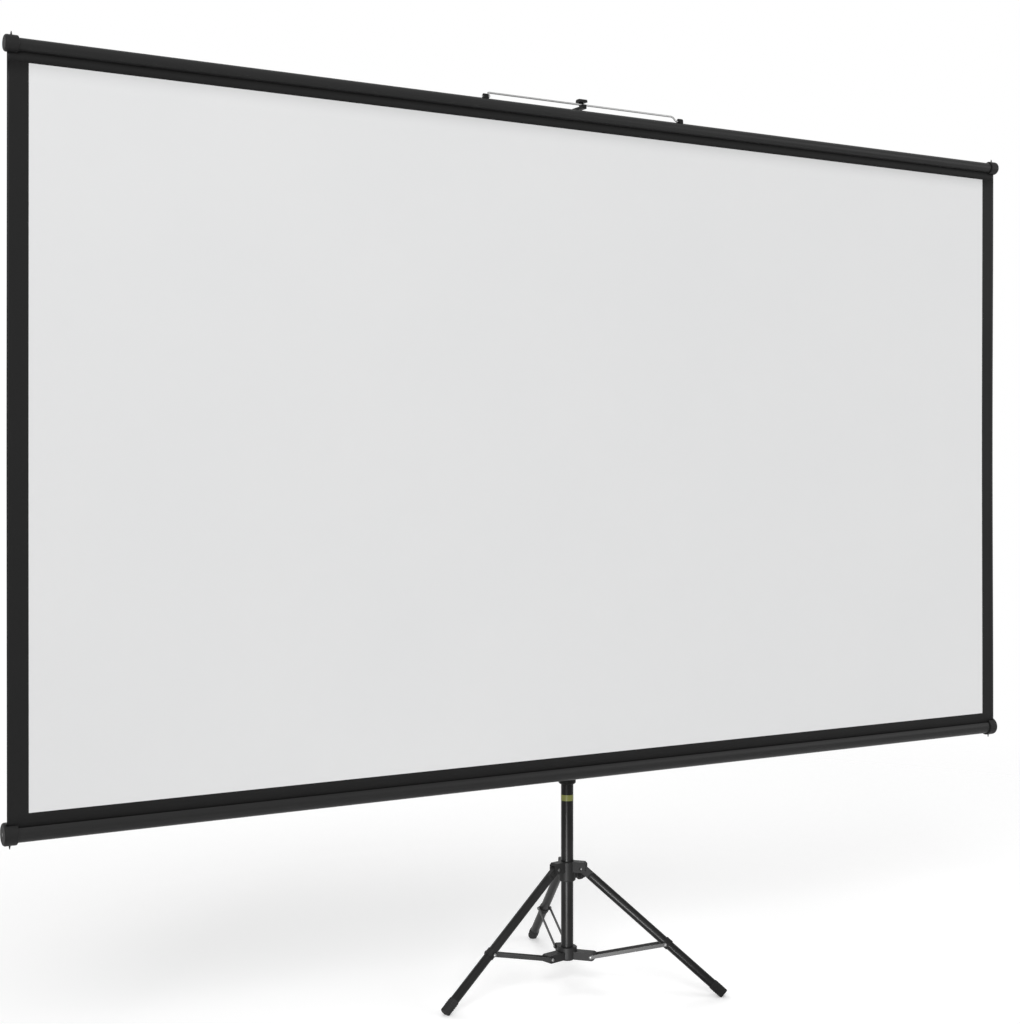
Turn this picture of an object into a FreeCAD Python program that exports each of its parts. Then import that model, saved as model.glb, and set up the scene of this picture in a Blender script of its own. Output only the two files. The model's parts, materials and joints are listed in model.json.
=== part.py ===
import FreeCAD
import Part
import Sketcher
import math
import os
import re

# Projection screen with stand: a fabric drawn up out of a case by a telescopic mast on a folding tripod.
# The floor is at zero height, the screen faces the negative Y side and its width lies along X.

SIZES = (
    # Fabric and its borders.
    ("view_width", 2214.0),
    ("view_height", 1245.0),
    ("side_border", 36.0),
    ("top_border", 18.0),
    ("bottom_border", 17.5),
    ("fabric_thickness", 0.5),
    # Case at the bottom, with the roller inside it.
    ("case_rise", 14.0),
    ("case_offset", 60.0),
    ("case_diameter", 32.0),
    ("case_wall", 1.6),
    ("case_screw_reach", 6.4),
    ("case_slot", 5.0),
    ("case_overlength", 2.0),
    ("roller_diameter", 16.0),
    ("roller_wall", 1.2),
    ("roll_build", 0.9),
    ("roller_overlength", 1.0),
    ("roller_plug_depth", 30.0),
    ("roller_pin_diameter", 6.0),
    ("roller_pin_depth", 18.0),
    # Caps on the ends of the case and of the top bar.
    ("cap_wall", 3.0),
    ("cap_skirt", 20.0),
    ("cap_overhang", 3.5),
    ("cap_round", 4.0),
    ("peg_height", 6.0),
    ("peg_root", 4.4),
    ("peg_tip", 1.2),
    ("peg_inset", 12.0),
    # Top bar, a slotted tube, and the spline in the hem of the fabric.
    ("bar_diameter", 22.0),
    ("bar_wall", 1.5),
    ("spline_diameter", 8.4),
    ("bar_slot", 0.9),
    ("cap_slot", 3.0),
    # Bail on the top bar and the hook that holds it.
    ("bail_span", 443.0),
    ("bail_wire", 4.0),
    ("bail_reach", 16.0),
    ("bail_lean", 45.0),
    ("bail_bend", 5.0),
    ("bail_pin_end", 17.0),
    ("bail_rise", 3.0),
    ("ear_length", 9.0),
    ("ear_depth", 12.0),
    ("ear_gap", 1.0),
    ("hook_width", 9.0),
    ("hook_head_width", 18.0),
    ("hook_head_height", 6.0),
    ("hook_head_side_share", 0.6),
    ("hook_head_front", 3.0),
    ("hook_head_gap", 3.5),
    ("hook_arm", 6.0),
    ("hook_lip", 3.0),
    ("hook_lip_rise", 2.5),
    ("hook_lip_gap", 1.6),
    ("hook_neck", 7.0),
    ("hook_peg_depth", 4.0),
    ("hook_peg_width", 6.0),
    ("hook_neck_gap", 0.6),
    ("hook_cap_diameter", 25.0),
    ("hook_socket", 20.0),
    ("hook_crown", 19.0),
    ("hook_cap_bevel", 2.0),
    # Mast tubes, one inside the other.
    ("mast_offset", 29.0),
    ("lower_tube_diameter", 25.0),
    ("lower_tube_wall", 1.3),
    ("lower_tube_bottom", 48.0),
    ("lower_tube_length", 375.0),
    ("centre_tube_wall", 1.2),
    ("centre_tube_gap", 1.0),
    ("centre_tube_length", 873.0),
    ("extension_wall", 1.2),
    ("extension_overlap", 90.0),
    ("slide_gap", 0.3),
    ("bush_rim", 8.0),
    ("bush_spigot", 10.0),
    ("foot_plug_diameter", 27.0),
    ("foot_plug_rim", 4.0),
    ("band_drop", 34.0),
    ("band_height", 12.0),
    ("band_diameter", 25.5),
    # Clamps of the mast, each with a screw knob behind it.
    ("clamp_diameter", 35.0),
    ("height_clamp_below", 21.0),
    ("height_clamp_above", 21.0),
    ("upper_clamp_diameter", 31.0),
    ("upper_clamp_below", 25.0),
    ("upper_clamp_above", 18.0),
    ("boss_diameter", 16.0),
    ("boss_reach", 25.0),
    ("boss_drop", 9.0),
    ("boss_bevel", 1.2),
    ("clamp_bevel", 2.0),
    # Screw knobs.
    ("knob_diameter", 24.0),
    ("knob_length", 13.0),
    ("knob_neck_diameter", 14.0),
    ("knob_neck", 4.0),
    ("knob_gap", 1.0),
    ("knob_bevel", 1.6),
    ("knob_flutes", 6.0),
    ("flute_diameter", 7.0),
    ("flute_reach", 13.5),
    ("stud_diameter", 6.0),
    ("stud_grip", 10.0),
    # Bracket that carries the case on the centre tube.
    ("bracket_gap", 2.0),
    ("bracket_height", 30.0),
    ("bracket_diameter", 34.0),
    ("saddle_length", 64.0),
    ("saddle_thickness", 11.0),
    ("saddle_bevel", 6.0),
    ("bracket_bevel", 1.5),
    ("saddle_drop", 10.0),
    ("saddle_arm", 22.0),
    ("saddle_screw_spread", 44.0),
    ("saddle_screw_depth", 9.0),
    ("screw_diameter", 4.0),
    ("screw_head_diameter", 7.6),
    ("screw_head_height", 2.4),
    # Collar that slides on the lower tube and carries the legs.
    ("leg_azimuth", -49.0),
    ("leg_count", 3.0),
    ("leg_angle", 52.0),
    ("leg_pivot_radius", 32.0),
    ("leg_pivot_height", 232.0),
    ("collar_gap", 0.5),
    ("collar_diameter", 34.0),
    ("collar_bevel", 1.5),
    ("collar_below", 27.0),
    ("collar_above", 13.0),
    ("collar_boss_below", 18.0),
    ("collar_boss_turn", 60.0),
    ("fork_reach", 8.0),
    ("fork_web", 4.5),
    ("fork_cheek", 4.0),
    ("fork_chamfer", 4.0),
    ("fork_slot_start", 21.0),
    # Legs.
    ("tongue_thickness", 10.0),
    ("tongue_width", 15.0),
    ("leg_diameter", 18.0),
    ("leg_wall", 1.2),
    ("leg_tube_start", 26.0),
    ("fitting_spigot", 24.0),
    ("fitting_flange", 5.0),
    ("fitting_bevel", 1.5),
    ("foot_diameter", 20.0),
    ("foot_length", 30.0),
    ("foot_end", 5.0),
    ("foot_flat", 3.0),
    ("foot_round", 2.0),
    ("clip_position", 222.0),
    ("clip_diameter", 21.0),
    ("clip_length", 14.0),
    ("clip_boss_diameter", 10.0),
    ("clip_half_width", 11.2),
    # Spreader hub at the foot of the tube and its struts.
    ("spreader_diameter", 40.0),
    ("spreader_height", 24.0),
    ("spreader_bevel", 1.5),
    ("spreader_pivot_radius", 53.0),
    ("spreader_pivot_rise", 8.0),
    ("spreader_arm_height", 16.0),
    ("strip_width", 7.0),
    ("strip_thickness", 2.0),
    ("strip_gap", 0.3),
    ("pin_diameter", 4.0),
    ("pin_head_diameter", 7.0),
    ("pin_head_height", 2.0),
    ("pin_head_rim_share", 0.45),
    ("pin_head_crown_share", 0.55),
    # Room between a fixed piece and its seat, and between a turning pin and its hole.
    ("seat_gap", 0.05),
    ("running_gap", 0.08),
)

NAMES = {name for name, number in SIZES}
RIGHT = FreeCAD.Vector(1, 0, 0)
BACK = FreeCAD.Vector(0, 1, 0)
UP = FreeCAD.Vector(0, 0, 1)
FRONT = BACK * -1
DOWN = UP * -1
LEFT = RIGHT * -1

doc = FreeCAD.newDocument("ProjectionScreen")
sheet = doc.addObject("Spreadsheet::Sheet", "Sizes")
for row, (name, number) in enumerate(SIZES, 1):
    sheet.set("A%d" % row, name)
    sheet.set("B%d" % row, str(number))
    sheet.setAlias("B%d" % row, name)
doc.recompute()

nodes = {}


# Names in a rule become cells of the sheet.
def rule(text):
    def cell(found):
        word = found.group(0)
        return "Sizes." + word if word in NAMES else word

    return re.sub(r"[a-z][a-z_]*", cell, text)


# The number that a rule stands for now.
def at(text):
    return float(sheet.evalExpression(rule(text)))


def bind(item, **rules):
    for name, text in rules.items():
        setattr(item, name, at(text))
        item.setExpression(name, rule(text))


def keep(label, item):
    item.Label = label
    nodes[label] = item
    return item


def frame(origin, x_way, y_way, z_way):
    return FreeCAD.Placement(origin, FreeCAD.Rotation(x_way, y_way, z_way, "ZXY"))


# A frame whose Z axis points along a way, for tubes, pins and holes.
def along(origin, way):
    return FreeCAD.Placement(origin, FreeCAD.Rotation(UP, way))


def upright(height, forward="mast_offset"):
    return FreeCAD.Placement(FreeCAD.Vector(0, -at(forward), at(height)), FreeCAD.Rotation())


# A frame for a turned piece whose axis is the sketch's own vertical.
def turned_along(origin, way, side):
    return frame(origin, side, way, side.cross(way))


def origin_plane(body):
    for item in body.Origin.OriginFeatures:
        if item.Role == "XY_Plane":
            return item


def new_body(label, where):
    body = doc.addObject("PartDesign::Body", "Body_" + label)
    body.Placement = where
    return body


def new_sketch(body, name):
    sketch = body.newObject("Sketcher::SketchObject", name)
    sketch.AttachmentSupport = [(origin_plane(body), "")]
    sketch.MapMode = "FlatFace"
    return sketch


def hold(sketch, constraint, text):
    index = sketch.addConstraint(constraint)
    sketch.setExpression("Constraints[%d]" % index, rule(text))


def pin_point(sketch, index, end, across, upward):
    for kind, axis, text in (("DistanceX", -2, across), ("DistanceY", -1, upward)):
        if text == "0":
            sketch.addConstraint(Sketcher.Constraint("PointOnObject", index, end, axis))
        else:
            hold(sketch, Sketcher.Constraint(kind, -1, 1, index, end, at(text)), text)


def add_circle(sketch, radius, across="0", upward="0"):
    centre = FreeCAD.Vector(at(across), at(upward), 0)
    index = sketch.addGeometry(Part.Circle(centre, UP, at(radius)), False)
    pin_point(sketch, index, 3, across, upward)
    hold(sketch, Sketcher.Constraint("Radius", index, at(radius)), radius)


def add_outline(sketch, corners):
    points = [FreeCAD.Vector(at(across), at(upward), 0) for across, upward in corners]
    count = len(points)
    first = sketch.GeometryCount
    for index, point in enumerate(points):
        sketch.addGeometry(Part.LineSegment(point, points[(index + 1) % count]), False)
    for index in range(count):
        after = first + (index + 1) % count
        sketch.addConstraint(Sketcher.Constraint("Coincident", first + index, 2, after, 1))
    for index, (across, upward) in enumerate(corners):
        pin_point(sketch, first + index, 1, across, upward)


def pad(body, sketch, length):
    item = body.newObject("PartDesign::Pad", "Pad")
    item.Profile = sketch
    bind(item, Length=length)
    return item


def turn(body, sketch):
    item = body.newObject("PartDesign::Revolution", "Turned")
    item.Profile = sketch
    item.ReferenceAxis = (sketch, ["V_Axis"])
    item.Angle = 360
    return item


def tube(label, outer, inner, length, where):
    body = new_body(label, where)
    sketch = new_sketch(body, "Section")
    add_circle(sketch, outer)
    add_circle(sketch, inner)
    pad(body, sketch, length)
    return body


def plate(label, corners, length, where):
    body = new_body(label, where)
    sketch = new_sketch(body, "Outline")
    add_outline(sketch, corners)
    pad(body, sketch, length)
    return body


def turned(label, corners, where):
    body = new_body(label, where)
    sketch = new_sketch(body, "Profile")
    add_outline(sketch, corners)
    turn(body, sketch)
    return body


# Round the edges of a body that lie at one height of its own axis and have one radius.
def round_rims(body, rims, size):
    doc.recompute()
    base = body.Tip
    names = []
    for number, edge in enumerate(base.Shape.Edges, 1):
        for radius, height in rims:
            curve = edge.Curve
            if isinstance(curve, Part.Circle):
                near = abs(curve.Radius - at(radius)) + abs(curve.Center.y - at(height))
                if near < at("seat_gap"):
                    names.append("Edge%d" % number)
    item = body.newObject("PartDesign::Fillet", "Round")
    item.Base = (base, names)
    bind(item, Radius=size)


def rod(radius, length, where):
    item = doc.addObject("Part::Cylinder", "Rod")
    bind(item, Radius=radius, Height=length)
    item.Placement = where
    return item


def cone(low, high, length, where):
    item = doc.addObject("Part::Cone", "Cone")
    bind(item, Radius1=low, Radius2=high, Height=length)
    item.Placement = where
    return item


# A rod with its far end bevelled, and its near end too if both is set.
def bevelled_rod(radius, length, bevel, origin, way, both=True):
    small = "%s - %s" % (radius, bevel)
    start = "%s" % bevel if both else "0"
    straight = "%s - %s - %s" % (length, bevel, start) if both else "%s - %s" % (length, bevel)
    pieces = [rod(radius, straight, along(origin + way * at(start), way))]
    pieces.append(cone(radius, small, bevel, along(origin + way * at("%s - %s" % (length, bevel)), way)))
    if both:
        pieces.append(cone(small, radius, bevel, along(origin, way)))
    return fuse(*pieces)


# A block centred on its frame in X and Y, rising from it along Z.
def block(length, width, height, where):
    item = doc.addObject("Part::Box", "Block")
    bind(item, Length=length, Width=width, Height=height)
    corner = FreeCAD.Vector(-at(length) / 2, -at(width) / 2, 0)
    item.Placement = where.multiply(FreeCAD.Placement(corner, FreeCAD.Rotation()))
    return item


def fuse(*items):
    item = doc.addObject("Part::MultiFuse", "Joined")
    item.Shapes = list(items)
    item.Refine = True
    return item


def cut(base, *tools):
    item = doc.addObject("Part::Cut", "Cut")
    item.Base = base
    item.Tool = tools[0] if len(tools) == 1 else fuse(*tools)
    item.Refine = True
    return item


def together(*items):
    item = doc.addObject("Part::Compound", "Set")
    item.Links = list(items)
    return item


# The crowned head of a rivet, on the face that it is closed against.
def rivet_head(origin, way):
    rim = "pin_head_height * pin_head_rim_share"
    edge = rod("pin_head_diameter / 2", rim, along(origin, way))
    top = "pin_head_diameter / 2 * pin_head_crown_share"
    crown_at = along(origin + way * at(rim), way)
    crown = cone("pin_head_diameter / 2", top, "pin_head_height * (1 - pin_head_rim_share)", crown_at)
    return fuse(edge, crown)


# A riveted pin with a head at each end, lying across a point.
def rivet(centre, way, half_length):
    half = at(half_length)
    shank = rod("pin_diameter / 2", "2 * (%s)" % half_length, along(centre - way * half, way))
    return fuse(shank, rivet_head(centre + way * half, way), rivet_head(centre - way * half, way * -1))


# Directions of one leg: outward from the mast, and sideways to it.
def leg_ways(index):
    angle = math.radians(at("leg_azimuth") + index * 360 / at("leg_count"))
    outward = FreeCAD.Vector(math.cos(angle), math.sin(angle), 0)
    return outward, UP.cross(outward)


mast = FreeCAD.Vector(0, -at("mast_offset"), 0)
LEGS = range(int(at("leg_count")))

# Radii of the three mast tubes, each clear of the next.
LOWER_OUT = "lower_tube_diameter / 2"
LOWER_IN = "lower_tube_diameter / 2 - lower_tube_wall"
CENTRE_OUT = LOWER_IN + " - slide_gap"
CENTRE_IN = CENTRE_OUT + " - centre_tube_wall"
UPPER_OUT = CENTRE_IN + " - slide_gap"
UPPER_IN = UPPER_OUT + " - extension_wall"
LOWER_TOP = "lower_tube_bottom + lower_tube_length"
CENTRE_LOW = "lower_tube_bottom + bush_spigot + bush_rim + centre_tube_gap"
CENTRE_TOP = CENTRE_LOW + " + centre_tube_length"
UPPER_LOW = CENTRE_TOP + " - extension_overlap"

# Heights above the lower tube and its clamp: the case, the bracket behind it and the band below.
CASE_MID = LOWER_TOP + " + case_rise"
BRACKET_LOW = LOWER_TOP + " + height_clamp_above + bracket_gap"
BAND_LOW = LOWER_TOP + " - height_clamp_below - band_drop"
HUB_PIVOT = "lower_tube_bottom + spreader_pivot_rise"

# Heights from the case up: the top bar, the wire of the bail and the seat of the hook that the mast ends in.
FABRIC_WIDE = "view_width + 2 * side_border"
ROLL_OUT = "roller_diameter / 2 + roll_build + seat_gap"
FABRIC_BACK = "mast_offset + case_offset + %s + slide_gap" % ROLL_OUT
FABRIC_MID = FABRIC_BACK + " + fabric_thickness / 2"
CASE_TOP = CASE_MID + " + case_diameter / 2"
BAR_LOW = CASE_TOP + " + bottom_border + view_height + top_border"
BAR_MID = BAR_LOW + " + bar_diameter / 2"
WIRE_Y = "%s - bail_reach * sin(bail_lean * 1deg)" % FABRIC_MID
WIRE_Z = "%s + bar_diameter / 2 + bail_rise + bail_reach * cos(bail_lean * 1deg)" % BAR_MID
SEAT = WIRE_Z + " - bail_wire / 2 - slide_gap"
UPPER_TOP = SEAT + " - hook_crown"

# Lower tube, its foot plug and the coloured band round it.
keep("lower_tube", tube("lower_tube", LOWER_OUT, LOWER_IN, "lower_tube_length", upright("lower_tube_bottom")))
plug = turned(
    "tube_foot_plug",
    (
        ("0", "-foot_plug_rim"),
        ("foot_plug_diameter / 2", "-foot_plug_rim"),
        ("foot_plug_diameter / 2", "0"),
        (LOWER_IN + " - seat_gap", "0"),
        (LOWER_IN + " - seat_gap", "bush_spigot"),
        ("0", "bush_spigot"),
    ),
    turned_along(mast + UP * at("lower_tube_bottom"), UP, RIGHT),
)
round_rims(plug, [("foot_plug_diameter / 2", "-foot_plug_rim")], "foot_round")
keep("tube_foot_plug", plug)
band_inner = LOWER_OUT + " + seat_gap"
band_at = upright(BAND_LOW)
keep("marker_band", tube("marker_band", "band_diameter / 2", band_inner, "band_height", band_at))

# Spreader hub fixed at the foot of the tube, with an arm towards each leg.
SPREAD_SIDE = "clip_half_width"
STRIP_IN = SPREAD_SIDE + " + strip_gap"
STRIP_OUT = STRIP_IN + " + strip_thickness"
ARM_LOW = HUB_PIVOT + " - spreader_arm_height / 2"
arms = []
holes = []
pins = []
for index in LEGS:
    outward, sideways = leg_ways(index)
    pivot = mast + outward * at("spreader_pivot_radius") + UP * at(HUB_PIVOT)
    low = mast + outward * at("spreader_pivot_radius / 2") + UP * at(ARM_LOW)
    bar_at = frame(low, outward, sideways, UP)
    bar = block("spreader_pivot_radius", "2 * clip_half_width", "spreader_arm_height", bar_at)
    side = pivot - sideways * at(SPREAD_SIDE)
    end = rod("spreader_arm_height / 2", "2 * clip_half_width", along(side, sideways))
    arms += [bar, end]
    holes.append(rod("pin_diameter / 2 + seat_gap", "2 * clip_half_width", along(side, sideways)))
    pins.append(rivet(pivot, sideways, STRIP_OUT + " + strip_gap"))
hub_foot = mast + UP * at("lower_tube_bottom")
ring = bevelled_rod("spreader_diameter / 2", "spreader_height", "spreader_bevel", hub_foot, UP)
bore = rod(LOWER_OUT + " + seat_gap", "spreader_height", upright("lower_tube_bottom"))
keep("spreader_hub", cut(fuse(ring, *arms), bore, *holes))
keep("spreader_pins", together(*pins))

# Leg collar that slides on the lower tube, with a fork for each leg and a boss for its screw.
FORK_SIDE = "tongue_thickness / 2 + strip_gap + fork_cheek"
FORK_END = "leg_pivot_radius + fork_reach"
FORK_LOW = "leg_pivot_height - fork_reach"
COLLAR_TOP = "leg_pivot_height + collar_above"
COLLAR_LOW = "leg_pivot_height - collar_below"
arms = []
holes = []
slots = []
pins = []
for index in LEGS:
    outward, sideways = leg_ways(index)
    corners = (
        ("0", FORK_LOW),
        (FORK_END + " - fork_chamfer", FORK_LOW),
        (FORK_END, FORK_LOW + " + fork_chamfer"),
        (FORK_END, COLLAR_TOP + " - fork_chamfer"),
        (FORK_END + " - fork_chamfer", COLLAR_TOP),
        ("0", COLLAR_TOP),
    )
    edge = mast + sideways * at(FORK_SIDE)
    fork_at = frame(edge, outward, UP, sideways * -1)
    arms.append(plate("fork_%d" % (index + 1), corners, "2 * (%s)" % FORK_SIDE, fork_at))
    length = FORK_END + " - fork_slot_start + strip_gap"
    low = mast + outward * (at("fork_slot_start") + at(length) / 2) + UP * at(FORK_LOW)
    tall = "collar_above + fork_reach - fork_web"
    slots.append(block(length, "tongue_thickness + 2 * strip_gap", tall, frame(low, outward, sideways, UP)))
    pivot = mast + outward * at("leg_pivot_radius") + UP * at("leg_pivot_height")
    side = pivot - sideways * at(FORK_SIDE)
    holes.append(rod("pin_diameter / 2 + seat_gap", "2 * (%s)" % FORK_SIDE, along(side, sideways)))
    pins.append(rivet(pivot, sideways, FORK_SIDE))
COLLAR_TALL = "collar_below + collar_above"
turn_angle = math.radians(at("leg_azimuth + collar_boss_turn"))
collar_way = FreeCAD.Vector(math.cos(turn_angle), math.sin(turn_angle), 0)
collar_screw = mast + UP * at("leg_pivot_height - collar_boss_below")
sleeve_foot = mast + UP * at(COLLAR_LOW)
sleeve = bevelled_rod("collar_diameter / 2", COLLAR_TALL, "collar_bevel", sleeve_foot, UP)
boss = bevelled_rod("boss_diameter / 2", "boss_reach", "boss_bevel", collar_screw, collar_way, False)
bore = rod(LOWER_OUT + " + collar_gap", COLLAR_TALL, upright(COLLAR_LOW))
screw_hole = rod("stud_diameter / 2 + running_gap", "boss_reach", along(collar_screw, collar_way))
keep("leg_collar", cut(fuse(sleeve, boss, *arms), bore, screw_hole, *holes, *slots))
keep("leg_pins", together(*pins))


# A fluted screw knob and its stud, whose tip stops short of the tube that it presses.
def screw_knob(label, centre, way, tip):
    start = centre + way * at("boss_reach + knob_gap")
    neck = rod("knob_neck_diameter / 2", "knob_neck", along(start, way))
    head = bevelled_rod("knob_diameter / 2", "knob_length", "knob_bevel", start + way * at("knob_neck"), way)
    side = UP.cross(way)
    flutes = []
    for number in range(int(at("knob_flutes"))):
        angle = 2 * math.pi * number / at("knob_flutes")
        off = side * (at("flute_reach") * math.cos(angle)) + UP * (at("flute_reach") * math.sin(angle))
        flute_at = along(start + way * at("knob_neck") + off, way)
        flutes.append(rod("flute_diameter / 2", "knob_length", flute_at))
    socket = rod("stud_diameter / 2 + seat_gap", "stud_grip", along(start, way))
    keep(label, cut(fuse(neck, head), socket, *flutes))
    length = "boss_reach + knob_gap + stud_grip - (%s)" % tip
    keep(label + "_stud", rod("stud_diameter / 2", length, along(centre + way * at(tip), way)))


screw_knob("collar_knob", collar_screw, collar_way, LOWER_OUT + " + collar_gap + strip_gap")

# Legs: a tongue in the fork, a tube, a clip for the struts and a rubber foot cut flat on the floor.
theta = math.radians(at("leg_angle"))
FOOT_DROP = "foot_diameter / 2 * sin(leg_angle * 1deg) - foot_flat"
LEG_RISE = "(leg_pivot_height - (%s)) / cos(leg_angle * 1deg)" % FOOT_DROP
leg_reach = at(LEG_RISE)
LEG_IN = "leg_diameter / 2 - leg_wall"
for index in LEGS:
    outward, sideways = leg_ways(index)
    number = index + 1
    pivot = mast + outward * at("leg_pivot_radius") + UP * at("leg_pivot_height")
    down = outward * math.sin(theta) - UP * math.cos(theta)
    across = sideways.cross(down)
    leg = frame(pivot, across, sideways, down)

    near = pivot - sideways * at("tongue_thickness / 2")
    eye = rod("tongue_width / 2", "tongue_thickness", along(near, sideways))
    tongue = block("tongue_width", "tongue_thickness", "leg_tube_start", leg)
    flange_foot = pivot + down * at("leg_tube_start")
    upward = down * -1
    flange = bevelled_rod("leg_diameter / 2", "fitting_flange", "fitting_bevel", flange_foot, upward, False)
    spigot_at = along(pivot + down * at("leg_tube_start"), down)
    spigot = rod(LEG_IN + " - seat_gap", "fitting_spigot", spigot_at)
    hole = rod("pin_diameter / 2 + running_gap", "tongue_thickness", along(near, sideways))
    keep("leg_fitting_%d" % number, cut(fuse(eye, tongue, flange, spigot), hole))

    length = LEG_RISE + " - foot_end - leg_tube_start"
    keep("leg_tube_%d" % number, tube("leg_tube_%d" % number, "leg_diameter / 2", LEG_IN, length, spigot_at))

    clip = pivot + down * at("clip_position")
    clip_start = clip - down * at("clip_length / 2")
    ring = rod("clip_diameter / 2", "clip_length", along(clip_start, down))
    ears_at = along(clip - sideways * at("clip_half_width"), sideways)
    ears = rod("clip_boss_diameter / 2", "2 * clip_half_width", ears_at)
    bore = rod("leg_diameter / 2 + seat_gap", "clip_length", along(clip_start, down))
    keep("leg_clip_%d" % number, cut(fuse(ring, ears), bore))

    foot = turned(
        "foot_%d" % number,
        (
            ("0", "0"),
            ("foot_diameter / 2", "0"),
            ("foot_diameter / 2", "foot_length"),
            ("leg_diameter / 2 + seat_gap", "foot_length"),
            ("leg_diameter / 2 + seat_gap", "foot_end"),
            ("0", "foot_end"),
        ),
        turned_along(pivot + down * leg_reach, down * -1, sideways),
    )
    round_rims(foot, [("foot_diameter / 2", "0")], "foot_round")
    below = pivot + down * leg_reach
    below.z = -at("foot_length")
    floor_at = FreeCAD.Placement(below, FreeCAD.Rotation())
    floor = block("2 * foot_length", "2 * foot_length", "foot_length", floor_at)
    keep("leg_foot_%d" % number, cut(foot, floor))

# Struts: a pair of strips from the spreader hub to each leg clip, one on each side of the leg.
for index in LEGS:
    outward, sideways = leg_ways(index)
    number = index + 1
    hub = mast + outward * at("spreader_pivot_radius") + UP * at(HUB_PIVOT)
    pivot = mast + outward * at("leg_pivot_radius") + UP * at("leg_pivot_height")
    clip = pivot + (outward * math.sin(theta) - UP * math.cos(theta)) * at("clip_position")
    span = (clip - hub).Length
    way = (clip - hub).normalize()
    strips = []
    rivets = []
    run_out = "leg_pivot_radius + clip_position * sin(leg_angle * 1deg) - spreader_pivot_radius"
    run_up = "leg_pivot_height - clip_position * cos(leg_angle * 1deg) - (%s)" % HUB_PIVOT
    run = "sqrt((%s) ^ 2 + (%s) ^ 2)" % (run_out, run_up)
    for hand in (1, -1):
        face = sideways * hand
        base = hub + face * at(STRIP_IN)
        middle = base + way * (span / 2)
        flat = block(run, "strip_width", "strip_thickness", frame(middle, way, face.cross(way), face))
        near = rod("strip_width / 2", "strip_thickness", along(base, face))
        far = rod("strip_width / 2", "strip_thickness", along(base + way * span, face))
        near_hole = rod("pin_diameter / 2 + running_gap", "strip_thickness", along(base, face))
        far_hole = rod("pin_diameter / 2 + seat_gap", "strip_thickness", along(base + way * span, face))
        strips.append(cut(fuse(flat, near, far), near_hole, far_hole))
        shank = rod("pin_diameter / 2", "strip_thickness", along(base + way * span, face))
        top = base + way * span + face * at("strip_thickness")
        rivets.append(fuse(shank, rivet_head(top, face)))
    keep("strut_%d" % number, together(*strips))
    keep("strut_rivets_%d" % number, together(*rivets))


# A clamp that sits on the top of one tube, lets the next slide through and has a screw boss at its back.
def clamp(label, outer, below, above, seat_top, seat, inner):
    foot = FreeCAD.Vector(0, mast.y, at(seat_top) - at(below))
    top = FreeCAD.Vector(0, mast.y, at(seat_top) + at(above) - at("boss_drop"))
    ring = bevelled_rod(outer, "%s + %s" % (below, above), "clamp_bevel", foot, UP)
    boss = bevelled_rod("boss_diameter / 2", "boss_reach", "boss_bevel", top, BACK, False)
    lower = rod(seat, below, along(foot, UP))
    bore = rod(inner, "%s + %s" % (below, above), along(foot, UP))
    hole = rod("stud_diameter / 2 + running_gap", "boss_reach", along(top, BACK))
    keep(label, cut(fuse(ring, boss), lower, bore, hole))
    return top


seat = LOWER_OUT + " + seat_gap"
outer = "clamp_diameter / 2"
screw = clamp("height_clamp", outer, "height_clamp_below", "height_clamp_above", LOWER_TOP, seat, LOWER_IN)
screw_knob("height_knob", screw, BACK, CENTRE_OUT + " + strip_gap")
seat = CENTRE_OUT + " + seat_gap"
outer = "upper_clamp_diameter / 2"
screw = clamp("extension_clamp", outer, "upper_clamp_below", "upper_clamp_above", CENTRE_TOP, seat, CENTRE_IN)
screw_knob("extension_knob", screw, BACK, UPPER_OUT + " + strip_gap")


# A bush closing the lower end of a sliding tube.
def bush(label, outer, inner, bottom):
    corners = (
        ("0", "-bush_rim"),
        (outer, "-bush_rim"),
        (outer, "0"),
        (inner + " - seat_gap", "0"),
        (inner + " - seat_gap", "bush_spigot"),
        ("0", "bush_spigot"),
    )
    keep(label, turned(label, corners, turned_along(mast + UP * at(bottom), UP, RIGHT)))


where = upright(CENTRE_LOW)
keep("centre_tube", tube("centre_tube", CENTRE_OUT, CENTRE_IN, "centre_tube_length", where))
bush("centre_bush", CENTRE_OUT, CENTRE_IN, CENTRE_LOW)
where = upright(UPPER_LOW)
extension_long = "%s - (%s)" % (UPPER_TOP, UPPER_LOW)
keep("extension_tube", tube("extension_tube", UPPER_OUT, UPPER_IN, extension_long, where))
bush("extension_bush", UPPER_OUT, UPPER_IN, UPPER_LOW)

# Case: a round shell along the width, with a slot where the fabric leaves the roll upwards.
CASE_LONG = "%s + 2 * case_overlength" % FABRIC_WIDE
CASE_OUT = "case_diameter / 2"
axis = FreeCAD.Vector(0, -at("mast_offset + case_offset"), at(CASE_MID))
fabric_foot = FreeCAD.Vector(0, -at(FABRIC_MID), at(CASE_MID))
half_case = at(CASE_LONG) / 2
case_at = along(axis + LEFT * half_case, RIGHT)
shell = rod(CASE_OUT, CASE_LONG, case_at)
hollow = rod("case_diameter / 2 - case_wall", CASE_LONG, case_at)
slot = block(CASE_LONG, "case_slot", CASE_OUT, FreeCAD.Placement(fabric_foot, FreeCAD.Rotation()))
screw_ways = []
for hand in (1, -1):
    inner_face = BACK * at("case_diameter / 2 - case_wall * 2")
    screw_start = axis + RIGHT * (hand * at("saddle_screw_spread / 2")) + inner_face
    screw_ways.append(rod("screw_diameter / 2 + seat_gap", "case_screw_reach", along(screw_start, BACK)))
keep("case_shell", cut(shell, hollow, slot, *screw_ways))


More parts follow.
